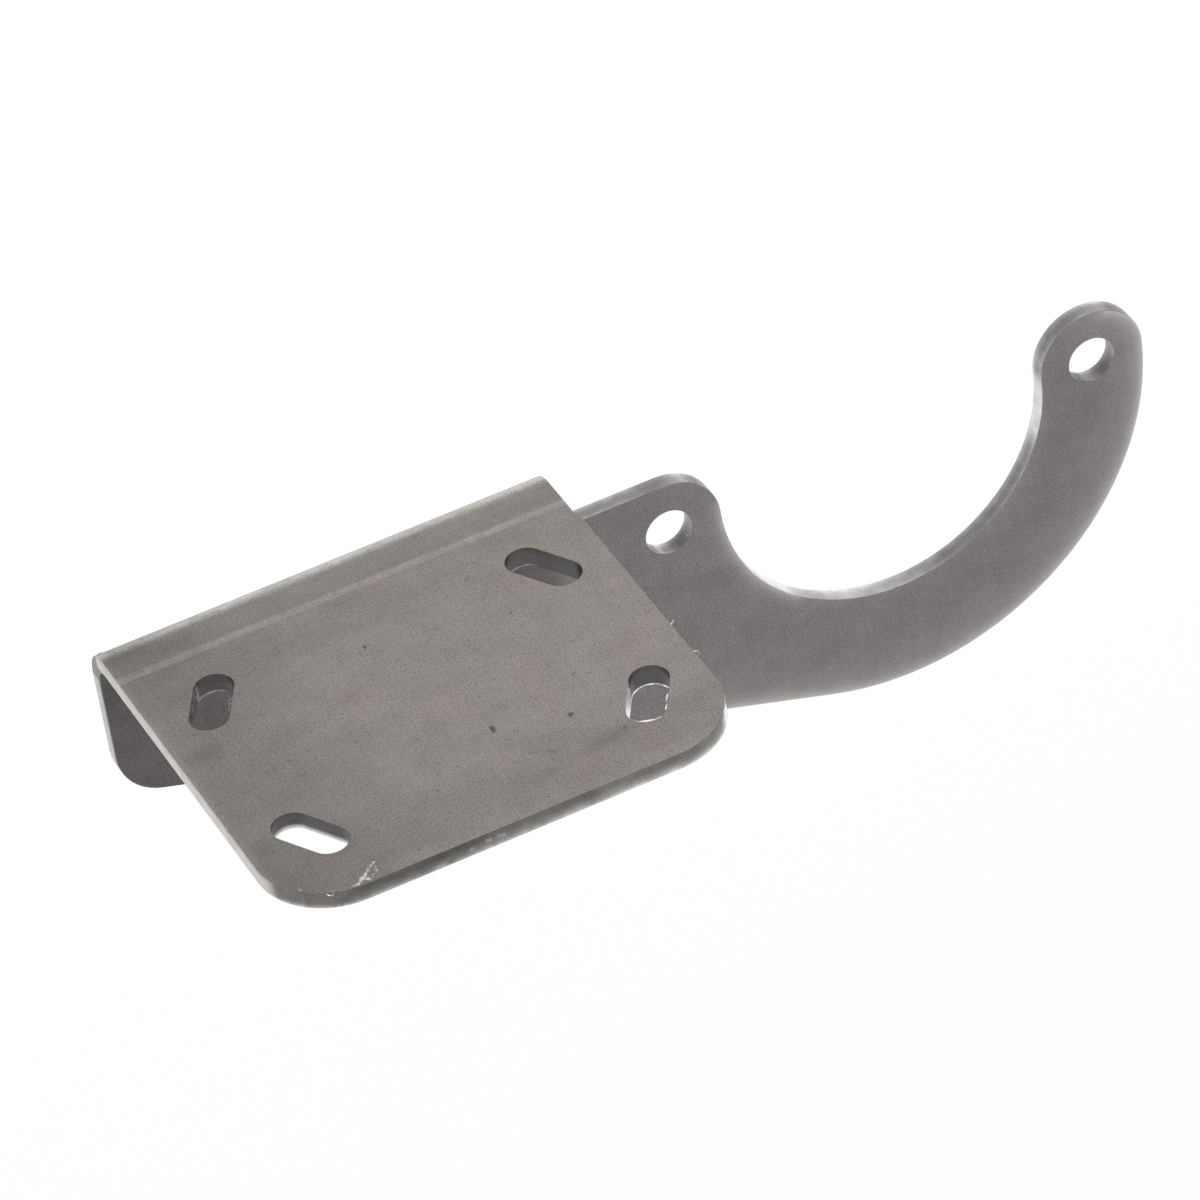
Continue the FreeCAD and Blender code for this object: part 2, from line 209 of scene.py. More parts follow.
def marks(tree, where, spots, soft, stray):
    """Ovals on the top face, ragged by stray millimetres, each with its place, half length and half
    width in millimetres, lean in degrees and strength from 0 to 1."""
    ragged = add(tree, "TexNoise", {"Vector": where, "Scale": 1.3, "Detail": 3.0}, out="Color")
    push = add(tree, "VectorMath", {0: ragged, 1: (0.5, 0.5, 0.5)}, operation="SUBTRACT")
    drift = add(tree, "VectorMath", {0: push, 1: (stray, stray, 0.0), 2: where}, operation="MULTIPLY_ADD")
    total = 0.0
    for x, y, half_length, half_width, lean, strength in spots:
        turn = (0.0, 0.0, math.radians(lean))
        size = (half_length, half_width, 1.0)
        oval = add(tree, "Mapping", {"Vector": drift, "Location": (x, y, 0.0), "Rotation": turn,
                   "Scale": size}, vector_type="TEXTURE")
        away = add(tree, "VectorMath", {0: oval}, out="Value", operation="LENGTH")
        spot = add(tree, "MapRange", {0: away, 1: soft, 2: 1.0, 3: strength, 4: 0.0})
        total = add(tree, "Math", {0: spot, 1: total}, operation="MAXIMUM")
    return total


def product(tree, factors):
    """All the factors multiplied together."""
    total = factors[0]
    for factor in factors[1:]:
        total = add(tree, "Math", {0: total, 1: factor}, operation="MULTIPLY")
    return total


def scaled(tree, colour, zone, factor):
    """The colour multiplied by a factor inside the zone: darker below 1, brighter above it."""
    scale = add(tree, "MapRange", {0: zone, 3: 1.0, 4: factor})
    return add(tree, "VectorMath", {0: colour, "Scale": scale}, operation="SCALE")


# Specks of scale, rubs and stains, then the white scuff by the front left corner.
SPECKS = (
    (-4.2, 22.8, 1.1, 0.35, 85, 0.9), (6.8, -16.8, 1.6, 0.8, 80, 1.0), (22.3, -21.9, 1.1, 0.8, 30, 0.9),
    (26.2, 15.2, 0.8, 0.4, 20, 0.6), (28.3, 13.9, 0.6, 0.35, 80, 0.5), (37.6, 12.5, 0.4, 0.3, 0, 0.4),
    (-14.0, 14.6, 0.5, 0.35, 70, 0.5), (14.0, -2.5, 0.4, 0.3, 0, 0.4), (28.6, -10.3, 0.7, 0.3, 30, 0.4),
    (-25.5, 35.8, 0.6, 0.35, 40, 0.4), (44.6, 39.0, 0.9, 0.3, 75, 0.5), (29.8, -32.0, 1.0, 0.6, 60, 0.45),
    (13.2, -32.8, 0.9, 0.35, 70, 0.5), (-12.0, -27.2, 3.4, 0.25, -34, 0.35),
    (-40.4, -15.8, 0.6, 0.35, 0, 0.4), (-20.0, 36.0, 0.7, 0.3, 10, 0.35))
RUBS = (
    (-27.5, 29.2, 3.8, 0.35, 38, 1.0), (-20.5, 33.2, 4.2, 0.35, 26, 1.0), (-12.0, 36.4, 4.8, 0.35, 18, 1.0),
    (-3.0, 38.6, 5.2, 0.4, 12, 1.0), (7.0, 39.4, 5.0, 0.4, -4, 0.8), (12.0, -36.0, 7.0, 2.5, 5, 0.5),
    (-46.0, 10.0, 5.0, 4.5, 0, 0.8), (9.0, -24.0, 3.2, 0.9, -30, 0.6), (13.0, -29.5, 5.0, 1.2, -35, 0.8),
    (26.0, -33.5, 9.0, 3.0, 12, 0.9), (-44.0, 9.5, 1.2, 0.5, 60, 1.0), (-48.5, -24.0, 4.0, 3.0, 80, 0.7),
    (-25.0, 8.0, 1.8, 0.35, -50, 0.6), (8.0, 17.0, 3.4, 0.3, 35, 0.5), (-38.0, 47.0, 6.0, 2.5, 0, 0.6))
SCUFF = (
    (-31.5, -40.8, 0.7, 0.2, 41, 0.9), (-32.5, -41.4, 0.8, 0.25, 25, 0.9), (-33.5, -42.2, 0.7, 0.25, 56, 1.0),
    (-34.4, -43.2, 1.0, 0.45, 43, 1.0), (-35.1, -43.9, 0.9, 0.8, 45, 1.0), (-35.9, -44.4, 1.0, 0.45, 30, 1.0),
    (-34.5, -44.7, 0.9, 0.28, -54, 1.0), (-31.8, -42.2, 0.8, 0.2, 75, 0.8), (-32.0, -43.2, 0.6, 0.2, 68, 0.7),
    (-37.0, -45.0, 0.8, 0.3, 20, 0.9), (-37.9, -45.0, 0.5, 0.3, 20, 0.8), (-39.7, -45.5, 0.35, 0.3, 0, 0.8),
    (-33.2, -44.4, 0.8, 0.2, 40, 0.5), (-42.7, -44.5, 0.5, 0.4, 20, 0.9), (-47.5, -39.9, 0.25, 0.7, 10, 0.7))

# Nicks in the front edge, each with its middle, length and height in millimetres.
NICKS = (
    (-12.1, -46, -2.3, 0.5, 0.3), (-8.2, -46, -1.8, 0.9, 0.4), (-5.8, -46, -1.8, 0.5, 0.3),
    (-4.8, -46, -2.0, 0.3, 0.3), (-47.4, -40.2, -1.6, 0.1, 2.6))


def mill_steel():
    """Hot-rolled and pickled sheet, left bare. It looks dull warm grey, clouded by the pickling,
    flecked with dark scale, and so finely grained that it only half reflects."""
    material, tree = new_material("pickled_mill_steel")
    where = millimetres(tree)
    on_top = in_box(tree, where, (OFF_LEFT, OFF_FRONT, -0.2), (OFF_RIGHT, OFF_BACK, OFF_TOP), 0.3)
    # The flange and arm are painted darker than the top face: a painted shade on the upright faces.
    upright_shade = in_box(tree, where, (OFF_LEFT, FLANGE_FRONT - 2, OFF_BELOW),
                     (OFF_END, OFF_BACK, -FOLD_RADIUS), 8.0)
    warm = mottle(tree, where, 15.0, 0.0, 1.0, detail=5.0)
    colour = add(tree, "Mix", {0: warm, 6: linear("#938E88"), 7: linear("#958D8B")}, **TINT)
    colour = add(tree, "Mix", {0: upright_shade, 6: colour, 7: linear("#847E7E")}, **TINT)

    bend = in_box(tree, where, (OFF_LEFT, FOLD_START + 1, -FOLD_RADIUS), (OFF_RIGHT, OFF_BACK, OFF_TOP), 3.0)
    colour = add(tree, "Mix", {0: product(tree, [bend, 0.7]), 6: colour, 7: linear("#91908B")}, **TINT)

    # The sheet is painted darker on the left, a painted shade where the light falls off, and is darker
    # along the front and by the bend. Inside the fold it is darkest: painted shade in the recess.
    # The first two zones have wavering borders: each place drifts by up to half of these distances.
    drift_x, drift_y = 24.0, 14.0
    line = PLATE_BACK - DIE_LINE
    far = 90.0
    adrift = add(tree, "TexNoise", {"Vector": where, "Scale": 1 / 20.0, "Detail": 3.0}, out="Color")
    adrift = add(tree, "VectorMath", {0: adrift, 1: (drift_x, drift_y, 0.0), 2: where},
                 operation="MULTIPLY_ADD")
    adrift = add(tree, "VectorMath", {0: adrift, 1: (drift_x / 2, drift_y / 2, 0.0)}, operation="SUBTRACT")
    shaded_left = in_box(tree, adrift, (-far, -far, -1), (-42, far, 1), 30.0)
    dull_front = in_box(tree, adrift, (-far, -far, -1), (far, -34, 1), 14.0)
    dull_fold = in_box(tree, where, (OFF_LEFT, line + 2, -1), (OFF_RIGHT, FOLD_START - 1, OFF_TOP), 3.0)
    dull_back = in_box(tree, where, (OFF_LEFT, 32, -1), (OFF_RIGHT, line - 1.5, OFF_TOP), 8.0)
    dull_end = in_box(tree, where, (OFF_LEFT, FOLD_START + 1, -FOLD_RADIUS), (-45, OFF_BACK, OFF_TOP), 8.0)
    normal = add(tree, "NewGeometry", out="True Normal")
    inside = add(tree, "VectorMath", {0: normal, 1: (0.0, -0.7, -0.7)}, out="Value", operation="DOT_PRODUCT")
    inside = add(tree, "MapRange", {0: inside, 1: 0.1, 2: 0.4})
    in_fold = in_box(tree, where, (OFF_LEFT, FLANGE_FRONT - 6, -60),
                     (PLATE_RIGHT - 4, FLANGE_FRONT + 1, 0), 6.0)
    # Facets inside the fold that face front and down are painted darker: painted shade in the fold's recess.
    recess_shade = product(tree, [in_fold, inside])
    # The underside of the plate is painted darker: painted shade under the plate.
    shade_under = in_box(tree, where, (OFF_LEFT, OFF_FRONT, BELOW_PLATE), (OFF_RIGHT, OFF_BACK, 1 - SHEET), 0.5)
    # Near the left and front rims the top face is painted lighter: a painted highlight along the edges.
    left_rim_highlight = in_box(tree, where, (OFF_LEFT, OFF_FRONT, -0.2), (PLATE_LEFT + 0.2, OFF_BACK, OFF_TOP), 2.0)
    front_rim_highlight = in_box(tree, where, (OFF_LEFT, OFF_FRONT, -0.2), (OFF_RIGHT, PLATE_FRONT + 1.5, OFF_TOP), 4.0)
    shades = [
        mottle(tree, where, 7.0, 0.92, 1.03, detail=5.0, stretch=(0.6, 1.0, 1.0)),
        mottle(tree, where, 1.5, 0.975, 1.025, stretch=(1.0, 0.06, 0.06)),
        # The real grain is near 0.1 mm. It is drawn at 0.42 mm, the finest that still shows.
        mottle(tree, where, 0.42, 0.77, 1.23, detail=2.0)]
    for zone, factor in (
            (shaded_left, 0.83), (dull_front, 0.90), (dull_fold, 0.93), (dull_back, 0.94), (dull_end, 0.80),
            (recess_shade, 0.62), (shade_under, 0.92), (left_rim_highlight, 1.22), (front_rim_highlight, 1.07)):
        shades.append(add(tree, "MapRange", {0: zone, 3: 1.0, 4: factor}))

    # The die burnished its line: a bright core with a dimmer band beside it, broken along X. The line is
    # also a painted highlight, painted much stronger on the left.
    broken = mottle(tree, where, 10.0, 0.6, 1.1, detail=4.0)
    core = in_box(tree, where, (OFF_LEFT, line, -0.3), (OFF_RIGHT, line + 0.4, OFF_TOP), 0.6)
    band = in_box(tree, where, (OFF_LEFT, line - 1.3, -0.3), (OFF_RIGHT, line, OFF_TOP), 0.4)
    twin = in_box(tree, where, (OFF_LEFT, PLATE_BACK - 0.2, -DIE_LINE - 0.2),
                  (PLATE_RIGHT - 1, OFF_BACK, 0.2 - DIE_LINE), 0.5)
    core = add(tree, "Math", {0: core, 1: twin}, operation="MAXIMUM")
    burnish_and_highlight = product(tree, [add(tree, "Math", {0: core, 1: band}, operation="ADD"), broken,
                             add(tree, "MapRange", {0: shaded_left, 3: 0.9, 4: 2.0})])
    shades.append(add(tree, "Math", {0: burnish_and_highlight, 1: 0.34, 2: 1.0}, operation="MULTIPLY_ADD"))

    specks = product(tree, [marks(tree, where, SPECKS, 0.4, 1.2), on_top])
    rubs = product(tree, [marks(tree, where, RUBS, 0.0, 1.4), on_top])
    scale = product(tree, [mottle(tree, where, 1.6, -14.0, 1.0, detail=1.0), on_top])
    shades.append(add(tree, "MapRange", {0: specks, 3: 1.0, 4: 0.3}))
    shades.append(add(tree, "MapRange", {0: rubs, 3: 1.0, 4: 0.79}))
    shades.append(add(tree, "MapRange", {0: scale, 1: 0.6, 2: 1.0, 3: 1.0, 4: 0.85}))
    colour = add(tree, "VectorMath", {0: colour, "Scale": product(tree, shades)}, operation="SCALE")

    # The arm is painted paler towards its outer rim, and a little at its inner one: a painted highlight
    # along the rims. The last number is how far from the rim, in millimetres, the paler paint has faded to
    # about a third.
    beyond = in_box(tree, where, (81, FLANGE_FRONT - 1, OFF_BELOW), (OFF_END, OFF_BACK, 0), 7.0)
    by_ear = in_box(tree, where, (88, FLANGE_FRONT - 1, -62), (104, OFF_BACK, -30), 5.0)
    for rim, zone, amount, fall in (
            ("outer_rim", beyond, 0.55, 1.0), ("outer_rim", beyond, 0.22, 5.0),
            ("inner_rim", beyond, 0.06, 2.2), ("inner_rim", by_ear, 0.45, 1.1)):
        away = add(tree, "Attribute", attribute_name=rim, out="Fac")
        fading = add(tree, "Math", {0: math.exp(-1 / fall), 1: away}, operation="POWER")
        share = product(tree, [fading, zone, amount])
        colour = add(tree, "Mix", {0: share, 6: colour, 7: linear("#E4E3DF")}, **TINT)
    scuff = product(tree, [marks(tree, where, SCUFF, 0.3, 1.6), on_top, mottle(tree, where, 0.8, 0.5, 1.6)])
    colour = add(tree, "Mix", {0: scuff, 6: colour, 7: linear("#E2D9D6")}, **TINT)

    satin = mottle(tree, where, 3.0, 0.46, 0.54, detail=4.0)
    rough = add(tree, "Math", {0: burnish_and_highlight, 1: -0.08, 2: satin}, operation="MULTIPLY_ADD")
    grit = mottle(tree, where, 0.45, 0.0, 1.0, detail=2.0)
    bump = add(tree, "Bump", {"Strength": 0.25, "Distance": 0.00004, "Height": grit})
    steel = add(tree, "BsdfPrincipled", {"Base Color": colour, "Metallic": 0.85, "Roughness": rough,
                "Normal": bump})
    add(tree, "OutputMaterial", {"Surface": steel})
    return material


def cut_steel():
    """Laser-cut edge of the sheet, with fine drag lines from one face to the other. By the face where the
    beam went in it is oxidised dark and carries painted shade as well; towards the face where it came out
    it is bare metal painted light, a painted reflection of the pale floor below."""
    material, tree = new_material("laser_cut_steel")
    where = millimetres(tree)
    on_flange = in_box(tree, where, (OFF_LEFT, FLANGE_FRONT - 1, OFF_BELOW),
                       (OFF_END, OFF_BACK, -FOLD_RADIUS), 0.5)
    height = add(tree, "SeparateXYZ", {0: where}, out="Z")
    back = add(tree, "SeparateXYZ", {0: where}, out="Y")
    plate_depth = add(tree, "Math", {0: height, 1: -1.0}, operation="MULTIPLY")
    flange_depth = add(tree, "Math", {0: back, 1: FLANGE_FRONT}, operation="SUBTRACT")
    depth = add(tree, "Mix", {0: on_flange, 2: plate_depth, 3: flange_depth})
    ragged = add(tree, "Math", {0: depth, 1: mottle(tree, where, 3.5, -0.25, 0.25)}, operation="ADD")

    # From the face painted dark to the one painted light: plate, then flange and arm. The dark start is
    # partly oxidised metal and partly painted shade; the lighter steps are a painted reflection.
    streaks = mottle(tree, where, 16.0, 0.0, 1.0, stretch=(1.0, 0.2, 0.2))
    oxide_and_shade = add(tree, "Mix", {0: streaks, 6: linear("#65625F"), 7: linear("#73706D")}, **TINT)
    colour = add(tree, "Mix", {0: on_flange, 6: oxide_and_shade, 7: linear("#9E9B99")}, **TINT)
    early = add(tree, "MapRange", {0: on_flange, 3: 2.8, 4: 1.9})
    for start, end, bare in ((1.0, 3.6, "#949290"), (early, 4.1, "#C6C4C1")):
        share = add(tree, "MapRange", {0: ragged, 1: start, 2: end}, **EASED)
        colour = add(tree, "Mix", {0: share, 6: colour, 7: linear(bare)}, **TINT)
    # A thin band just below the front face of the flange and arm walls is painted light: a painted highlight
    # along the edge.
    lip_highlight = add(tree, "MapRange", {0: depth, 1: 0.4, 2: 0.9, 3: 0.45, 4: 0.0}, **EASED)
    lip_highlight = product(tree, [lip_highlight, on_flange])
    colour = add(tree, "Mix", {0: lip_highlight, 6: colour, 7: linear("#B4B2B0")}, **TINT)

    # The hook's inner walls are painted brighter, a painted highlight: below its tip, at its foot, and most
    # where it leaves the first ear.
    below_tip = in_box(tree, where, (166, 54, -42), (172, 60, -33), 5.0)
    hook_foot = in_box(tree, where, (112, 54, -75), (134, 60, -60), 9.0)
    ear_foot = in_box(tree, where, (94, 54, -75), (103, 60, -50), 9.0)
    for zone, share, bare in (
            (below_tip, 0.8, "#E6E5E2"), (hook_foot, 0.35, "#C4C3C0"), (ear_foot, 0.9, "#FBFAF8")):
        colour = add(tree, "Mix", {0: product(tree, [zone, share]), 6: colour, 7: linear(bare)}, **TINT)
    # The walls inside the bolt holes are painted darker: painted shade in the holes.
    for x, z in HOLE_CENTRES:
        half = HOLE_RADIUS - 0.5
        hole_shade = in_box(tree, where, (x - half, 50, z - half), (x + half, OFF_BACK, z + half), 1.0)
        colour = scaled(tree, colour, hole_shade, 0.78)

    # The round of the first ear is duller on top.
    round_top = product(tree, [in_box(tree, where, (76, 50, -20), (86, OFF_BACK, -10), 5.0), 0.6])
    colour = add(tree, "Mix", {0: round_top, 6: colour, 7: linear("#858381")}, **TINT)

    # Both front corners keep the dark upper colour, with its painted shade, nearly to the lower rim.
    left_turn = in_box(tree, where, (-51.4, OFF_FRONT, BELOW_PLATE), (-40, -31, OFF_TOP), 3.0)
    right_turn = in_box(tree, where, (44, OFF_FRONT, BELOW_PLATE), (OFF_RIGHT, -30, OFF_TOP), 3.0)
    for corner, dark in ((left_turn, 0.9), (right_turn, 0.1)):
        drawn = add(tree, "MapRange", {0: ragged, 1: 2.2, 2: 4.4, 3: dark, 4: 0.0}, **EASED)
        drawn = product(tree, [corner, drawn])
        colour = add(tree, "Mix", {0: drawn, 6: colour, 7: linear("#736F6D")}, **TINT)

    # The front edge is darker to the left, with a few bare nicks. The right corner is fresh metal, painted
    # near white: a painted reflection of the white surroundings.
    edge_back = PLATE_FRONT + 0.3
    dim = in_box(tree, where, (-34, OFF_FRONT, BELOW_PLATE), (-14, edge_back, OFF_TOP), 12.0)
    clear = in_box(tree, where, (26, OFF_FRONT, BELOW_PLATE), (44, edge_back, OFF_TOP), 14.0)
    colour = scaled(tree, colour, dim, 0.8)
    colour = scaled(tree, colour, clear, 1.2)
    for x, y, z, across, tall in NICKS:
        nick = in_box(tree, where, (x - across / 2, y - 0.5, z - tall / 2),
                      (x + across / 2, y + 0.5, z + tall / 2), 0.5)
        colour = add(tree, "Mix", {0: product(tree, [nick, 0.35]), 6: colour, 7: linear("#BDBAB8")}, **TINT)
    turned = in_box(tree, where, (51, -44, BELOW_PLATE), (OFF_RIGHT, -22, OFF_TOP), 4.0)
    fresh_and_reflecting = product(tree, [turned, add(tree, "MapRange", {0: depth, 1: -0.4, 2: 1.3}, **EASED)])
    tip = in_box(tree, where, (49.5, -39, BELOW_PLATE), (OFF_RIGHT, -35.5, OFF_TOP), 1.6)
    fresh_and_reflecting = add(tree, "Math", {0: fresh_and_reflecting, 1: tip}, operation="MAXIMUM")
    colour = add(tree, "Mix", {0: fresh_and_reflecting, 6: colour, 7: linear("#F4F3F1")}, **TINT)

    # The left edges of plate and flange are fresh bare metal, painted light: a painted highlight where the
    # left light falls on them. They are darker towards the upper face, and duller at the end of the fold.
    left = in_box(tree, where, (OFF_LEFT, OFF_FRONT, OFF_BELOW), (PLATE_LEFT + 0.2, OFF_BACK, OFF_TOP), 1.2)
    bare = add(tree, "MapRange", {0: depth, 1: 0.0, 2: 1.6}, **EASED)
    upper = add(tree, "Mix", {0: on_flange, 6: linear("#B0AFAC"), 7: linear("#62605E")}, **TINT)
    lower = add(tree, "Mix", {0: on_flange, 6: linear("#C7C0BD"), 7: linear("#BEBEBA")}, **TINT)
    bare = add(tree, "Mix", {0: bare, 6: upper, 7: lower}, **TINT)
    colour = add(tree, "Mix", {0: left, 6: colour, 7: bare}, **TINT)
    for y, z in ((FLANGE_FRONT - 0.1, -1.2), (FOLD_START + 1, -SHEET - 0.6)):
        fold_end = in_box(tree, where, (OFF_LEFT, y, 0.8 - FOLD_RADIUS), (PLATE_LEFT + 1, OFF_BACK, z), 0.8)
        colour = add(tree, "Mix", {0: fold_end, 6: colour, 7: linear("#797B76")}, **TINT)

    # Slot walls are painted dark, a painted shade inside the slots, with a burr along the lower rim that is
    # painted light, a painted highlight, brightest in the front right slot.
    slots = in_box(tree, where, (-46.5, -35, BELOW_BURRS), (46.5, 35, OFF_TOP), 0.5)
    colour = add(tree, "Mix", {0: slots, 6: colour, 7: linear("#5A5757")}, **TINT)
    # The walls of the back left slot are darker still.
    darker_back_left = in_box(tree, where, *BACK_LEFT_SLOT, 0.5)
    colour = scaled(tree, colour, darker_back_left, 0.8)
    back_left = in_box(tree, where, (-47, 15, BELOW_BURRS), (-34, 35, OFF_TOP), 2.0)
    back_right = in_box(tree, where, (30, 15, BELOW_BURRS), (38, 35, OFF_TOP), 2.0)
    front_right = in_box(tree, where, *FRONT_RIGHT_SLOT, 2.0)
    for zone, burr, deep in (
            (back_left, "#8C8988", 4.4), (back_right, "#8C8988", 4.5), (front_right, "#F2F0EE", 4.9)):
        rim = add(tree, "MapRange", {0: depth, 1: deep - 0.2, 2: deep}, **EASED)
        share = product(tree, [zone, rim, mottle(tree, where, 1.5, 0.5, 1.4)])
        colour = add(tree, "Mix", {0: share, 6: colour, 7: linear(burr)}, **TINT)
    glare = in_box(tree, where, (-47, -35, -SHEET - 0.6), (-30, -15, -SHEET), 1.3)
    colour = add(tree, "Mix", {0: glare, 6: colour, 7: linear("#D6D5D3")}, **TINT)

    # The walls that face the front right are bare in places: a blotch at the back left. Nearly all of the
    # one in the front right slot is painted white, a painted reflection.
    normal = add(tree, "NewGeometry", out="True Normal")
    facing = add(tree, "VectorMath", {0: normal, 1: (0.866, -0.5, 0.0)}, out="Value", operation="DOT_PRODUCT")
    facing = add(tree, "MapRange", {0: facing, 1: 0.6, 2: 0.9})
    blotch = in_box(tree, where, (-47, 20, -SHEET), (-39, 32, 0), 1.0)
    blotch = product(tree, [facing, blotch, mottle(tree, where, 1.4, 0.0, 1.0)])
    colour = add(tree, "Mix", {0: blotch, 6: colour, 7: linear("#A9ACA7")}, **TINT)
    bright = in_box(tree, where, (30, -34, BELOW_BURRS), (38, -20.2, OFF_TOP), 0.8)
    bright = product(tree, [facing, bright, mottle(tree, where, 1.2, 0.8, 3.0, stretch=(1.0, 1.0, 0.5))])
    colour = add(tree, "Mix", {0: bright, 6: colour, 7: linear("#FFFFFF")}, **TINT)

    clouds = mottle(tree, where, 3.0, 0.90, 1.10, detail=4.0)
    grain = mottle(tree, where, 0.32, 0.86, 1.14)
    shade = product(tree, [clouds, grain])
    colour = add(tree, "VectorMath", {0: colour, "Scale": shade}, operation="SCALE")
    smooth = add(tree, "Math", {0: fresh_and_reflecting, 1: bright}, operation="MAXIMUM")
    smooth = add(tree, "Math", {0: smooth, 1: product(tree, [ear_foot, 0.5])}, operation="MAXIMUM")
    rough = add(tree, "MapRange", {0: smooth, 3: 0.38, 4: 0.18})
    drag = mottle(tree, where, 0.4, 0.0, 1.0, stretch=(1.0, 1.0, 0.25))
    relief = add(tree, "MapRange", {0: smooth, 3: 0.15, 4: 0.04})
    bump = add(tree, "Bump", {"Strength": relief, "Distance": 0.00005, "Height": drag})
    steel = add(tree, "BsdfPrincipled", {"Base Color": colour, "Metallic": 0.9, "Roughness": rough,
                "Normal": bump})
    add(tree, "OutputMaterial", {"Surface": steel})
    return material


def burr_steel():
    """Torn slivers of bare steel at the rims, pale, slightly pink from heat on the right edge and
    duller in the back left slot."""
    material, tree = new_material("torn_burr_steel")
    where = millimetres(tree)
    patchy = mottle(tree, where, 0.6, 0.0, 1.0)
    colour = add(tree, "Mix", {0: patchy, 6: linear("#CCC4C2"), 7: linear("#F6F2F0")}, **TINT)
    dull = in_box(tree, where, *BACK_LEFT_SLOT, 0.5)
    colour = add(tree, "Mix", {0: dull, 6: colour, 7: linear("#B4B1AF")}, **TINT)
    heated = in_box(tree, where, (51, -20, -3), (56, -12, OFF_TOP), 0.5)
    colour = add(tree, "Mix", {0: heated, 6: colour, 7: linear("#CDBFBB")}, **TINT)
    steel = add(tree, "BsdfPrincipled", {"Base Color": colour, "Metallic": 0.9, "Roughness": 0.4})
    add(tree, "OutputMaterial", {"Surface": steel})
    return material


def is_cut_wall(centre, normal):
    """True where a facet belongs to the cut edge of the sheet, and not to one of its two faces."""
    if centre.y < FOLD_START * MM:
        return abs(normal.z) < 0.8
    if centre.z > -FOLD_RADIUS * MM:
        return abs(normal.x) > 0.6
    return abs(normal.y) < 0.8


def slice_at(form, axis, places, kept=lambda vertex: True):
    """Cuts the mesh along planes square to one axis, so that it has vertices there."""
    across = Vector([1.0 if i == axis else 0.0 for i in range(3)])
    for place in places:
        verts = [v for v in form.verts if kept(v)]
        edges = {e for v in verts for e in v.link_edges}
        faces = {f for e in edges for f in e.link_faces}
        bmesh.ops.bisect_plane(form, geom=verts + list(edges) + list(faces), dist=1e-6,
                               plane_co=across * place * MM, plane_no=across)


def spread(low, high):
    """Places between two ends, about one grid spacing apart."""
    count = round((high - low) / GRID)
    return [low + (high - low) * i / count for i in range(1, count)]


def press_die_line(form):
    """Presses the die's shallow groove into the top face and its twin into the flange's back."""
    line = PLATE_BACK - DIE_LINE
    for side in (-0.9, -0.3, 0.3, 0.9):
        slice_at(form, 1, [line + side], lambda v: v.co.z > -0.1 * MM)
        slice_at(form, 2, [side - DIE_LINE], lambda v: v.co.y > (PLATE_BACK - 0.1) * MM)
    for vertex in form.verts:
        x, y, z = vertex.co / MM
        if abs(z) < 0.01 and abs(y - line) < 0.5:
            vertex.co.z = -DIE_GROOVE_DEPTH * MM
        if abs(y - PLATE_BACK) < 0.01 and abs(z + DIE_LINE) < 0.5 and x < PLATE_RIGHT - 1:
            vertex.co.y = (PLATE_BACK - DIE_GROOVE_DEPTH) * MM


def measure_rims(form):
    """Stores how far each vertex of the arm lies from its outer and its inner rim, in millimetres."""
    points = {"outer_rim": [], "inner_rim": []}
    for edge in form.edges:
        walls = [face for face in edge.link_faces if face.material_index == 1]
        middle = (edge.verts[0].co + edge.verts[1].co) / 2 / MM
        at_hole = any(math.hypot(middle.x - x, middle.z - z) < HOLE_RADIUS + 1 for x, z in HOLE_CENTRES)
        if len(walls) != 1 or at_hole or middle.x < PLATE_RIGHT or middle.y < FLANGE_FRONT - 0.5:
            continue
        outwards = walls[0].normal.z < -0.2 or (walls[0].normal.x > 0.3 and middle.x > HOLE_CENTRES[1][0])
        count = math.ceil(edge.calc_length() / MM / RIM_STEP)
        rim = points["outer_rim" if outwards else "inner_rim"]
        for i in range(count + 1):
            rim.append(edge.verts[0].co.lerp(edge.verts[1].co, i / count))
    for name, rim in points.items():
        tree = kdtree.KDTree(len(rim))
        for index, point in enumerate(rim):
            tree.insert(point, index)
        tree.balance()
        layer = form.verts.layers.float.new(name)
        for vertex in form.verts:
            away = tree.find(vertex.co)[2] / MM if vertex.co.y > (FLANGE_FRONT - 0.5) * MM else RIM_REACH
            vertex[layer] = min(away, RIM_REACH)


def fold_sheet():
    """The bracket itself, cut from the frame's own solid, with soft edges and two finishes."""
    def on_arm(vertex):
        return vertex.co.y > (FLANGE_FRONT - 0.5) * MM and vertex.co.z < -(FOLD_RADIUS - 0.1) * MM

    form = bmesh.new()
    form.from_mesh(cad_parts["bracket"].data)
    bmesh.ops.remove_doubles(form, verts=form.verts, dist=1e-6)
    slice_at(form, 0, spread(PLATE_LEFT, ARM_END), on_arm)
    slice_at(form, 2, spread(ARM_BOTTOM, -FOLD_RADIUS), on_arm)
    press_die_line(form)
    form.normal_update()
    for face in form.faces:
        face.smooth = True
        face.material_index = 1 if is_cut_wall(face.calc_center_median(), face.normal) else 0
    measure_rims(form)
    mesh = bpy.data.meshes.new("folded_sheet")
    form.to_mesh(mesh)
    form.free()
    piece = bpy.data.objects.new("folded_sheet", mesh)
    scene.collection.objects.link(piece)
    mesh.materials.append(mill_steel())
    mesh.materials.append(cut_steel())
    piece.modifiers.new("flat_faces_stay_flat", "WEIGHTED_NORMAL")
    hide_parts("bracket")
    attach(piece, "root")


